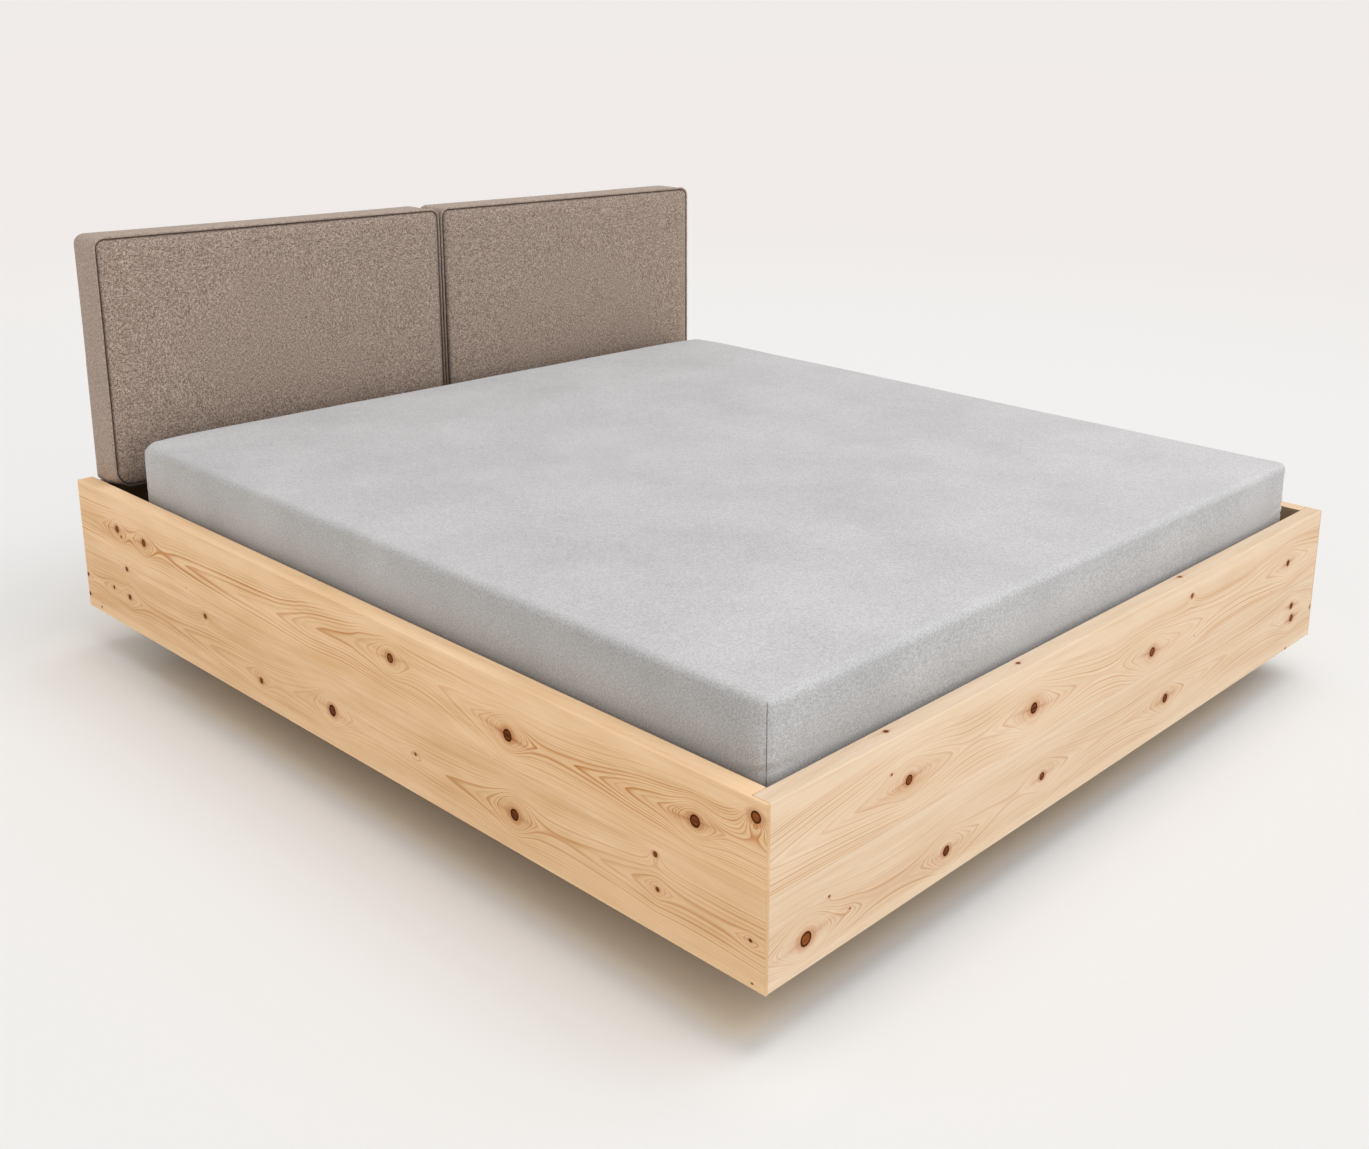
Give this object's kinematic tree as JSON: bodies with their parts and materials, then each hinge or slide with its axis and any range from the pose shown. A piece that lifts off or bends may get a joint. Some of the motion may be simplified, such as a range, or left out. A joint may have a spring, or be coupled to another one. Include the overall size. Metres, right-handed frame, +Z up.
{
  "type": "platform bed",
  "caption": "Floating platform bed: knotty pine frame on a set-back plinth, mattress with fitted sheet, and a headboard of lift-off upholstered cushions.",
  "frame": {"origin": "on the floor, under the middle of the bed's overall length and width", "axes": "+Y from the foot to the headboard, +Z up, +X to the right as seen from the foot"},
  "size_m": [1.94, 2.26, 1.008],
  "materials": {
    "pine_board": "clear oiled knotty pine, fine sanded",
    "pine_frame": "plain planed pine",
    "pine_slat": "plain planed pine",
    "panel_board": "sanded plywood",
    "beech_dowel": "turned beech",
    "zinc_steel": "zinc plated",
    "screw_steel": "zinc plated",
    "glide_plastic": "matt",
    "mattress_ticking": "knitted ticking",
    "sheet_jersey": "fine melange jersey",
    "cushion_fabric": "woven melange upholstery",
    "lining_cloth": "thin black backing cloth",
    "strap_tape": "woven tape"
  },
  "bodies": {
    "frame": {"left_side_rail": "pine_board", "right_side_rail": "pine_board", "foot_board": "pine_board", "head_board": "pine_board", "left_foot_bracket": "zinc_steel", "right_foot_bracket": "zinc_steel", "right_head_bracket": "zinc_steel", "left_head_bracket": "zinc_steel", "bracket_screws": "screw_steel", "corner_dowels": "beech_dowel", "left_slat_ledge": "pine_frame", "right_slat_ledge": "pine_frame", "ledge_screws": "screw_steel", "centre_beam": "pine_frame", "foot_beam_shoe": "zinc_steel", "head_beam_shoe": "zinc_steel", "beam_shoe_screws": "screw_steel", "slat_01": "pine_slat", "slat_02": "pine_slat", "slat_03": "pine_slat", "slat_04": "pine_slat", "slat_05": "pine_slat", "slat_06": "pine_slat", "slat_07": "pine_slat", "slat_08": "pine_slat", "slat_09": "pine_slat", "slat_10": "pine_slat", "slat_11": "pine_slat", "slat_12": "pine_slat", "slat_13": "pine_slat", "slat_14": "pine_slat", "left_slat_strap": "strap_tape", "right_slat_strap": "strap_tape", "foot_traverse": "pine_frame", "middle_traverse": "pine_frame", "head_traverse": "pine_frame", "plinth_left_board": "pine_frame", "plinth_right_board": "pine_frame", "plinth_foot_board": "pine_frame", "plinth_head_board": "pine_frame", "plinth_corner_blocks": "pine_frame", "plinth_glides": "glide_plastic", "headboard_keepers": "zinc_steel", "keeper_screws": "screw_steel"},
    "mattress_set": {"mattress": "mattress_ticking", "fitted_sheet": "sheet_jersey"},
    "left_headboard": {"left_headboard_cushion": "cushion_fabric", "left_headboard_piping": "cushion_fabric", "left_headboard_panel": "panel_board", "left_headboard_lining": "lining_cloth", "left_headboard_tongues": "zinc_steel", "left_tongue_screws": "screw_steel"},
    "right_headboard": {"right_headboard_cushion": "cushion_fabric", "right_headboard_piping": "cushion_fabric", "right_headboard_panel": "panel_board", "right_headboard_lining": "lining_cloth", "right_headboard_tongues": "zinc_steel", "right_tongue_screws": "screw_steel"}
  },
  "joints": [
    {"name": "mattress_lift", "type": "slide", "parent": "frame", "child": "mattress_set", "axis": [0, 0, 1], "range_m": [0, 0.3]},
    {"name": "left_headboard_lift", "type": "slide", "parent": "frame", "child": "left_headboard", "axis": [0, 0, 1], "range_m": [0, 0.12]},
    {"name": "right_headboard_lift", "type": "slide", "parent": "frame", "child": "right_headboard", "axis": [0, 0, 1], "range_m": [0, 0.12]}
  ]
}
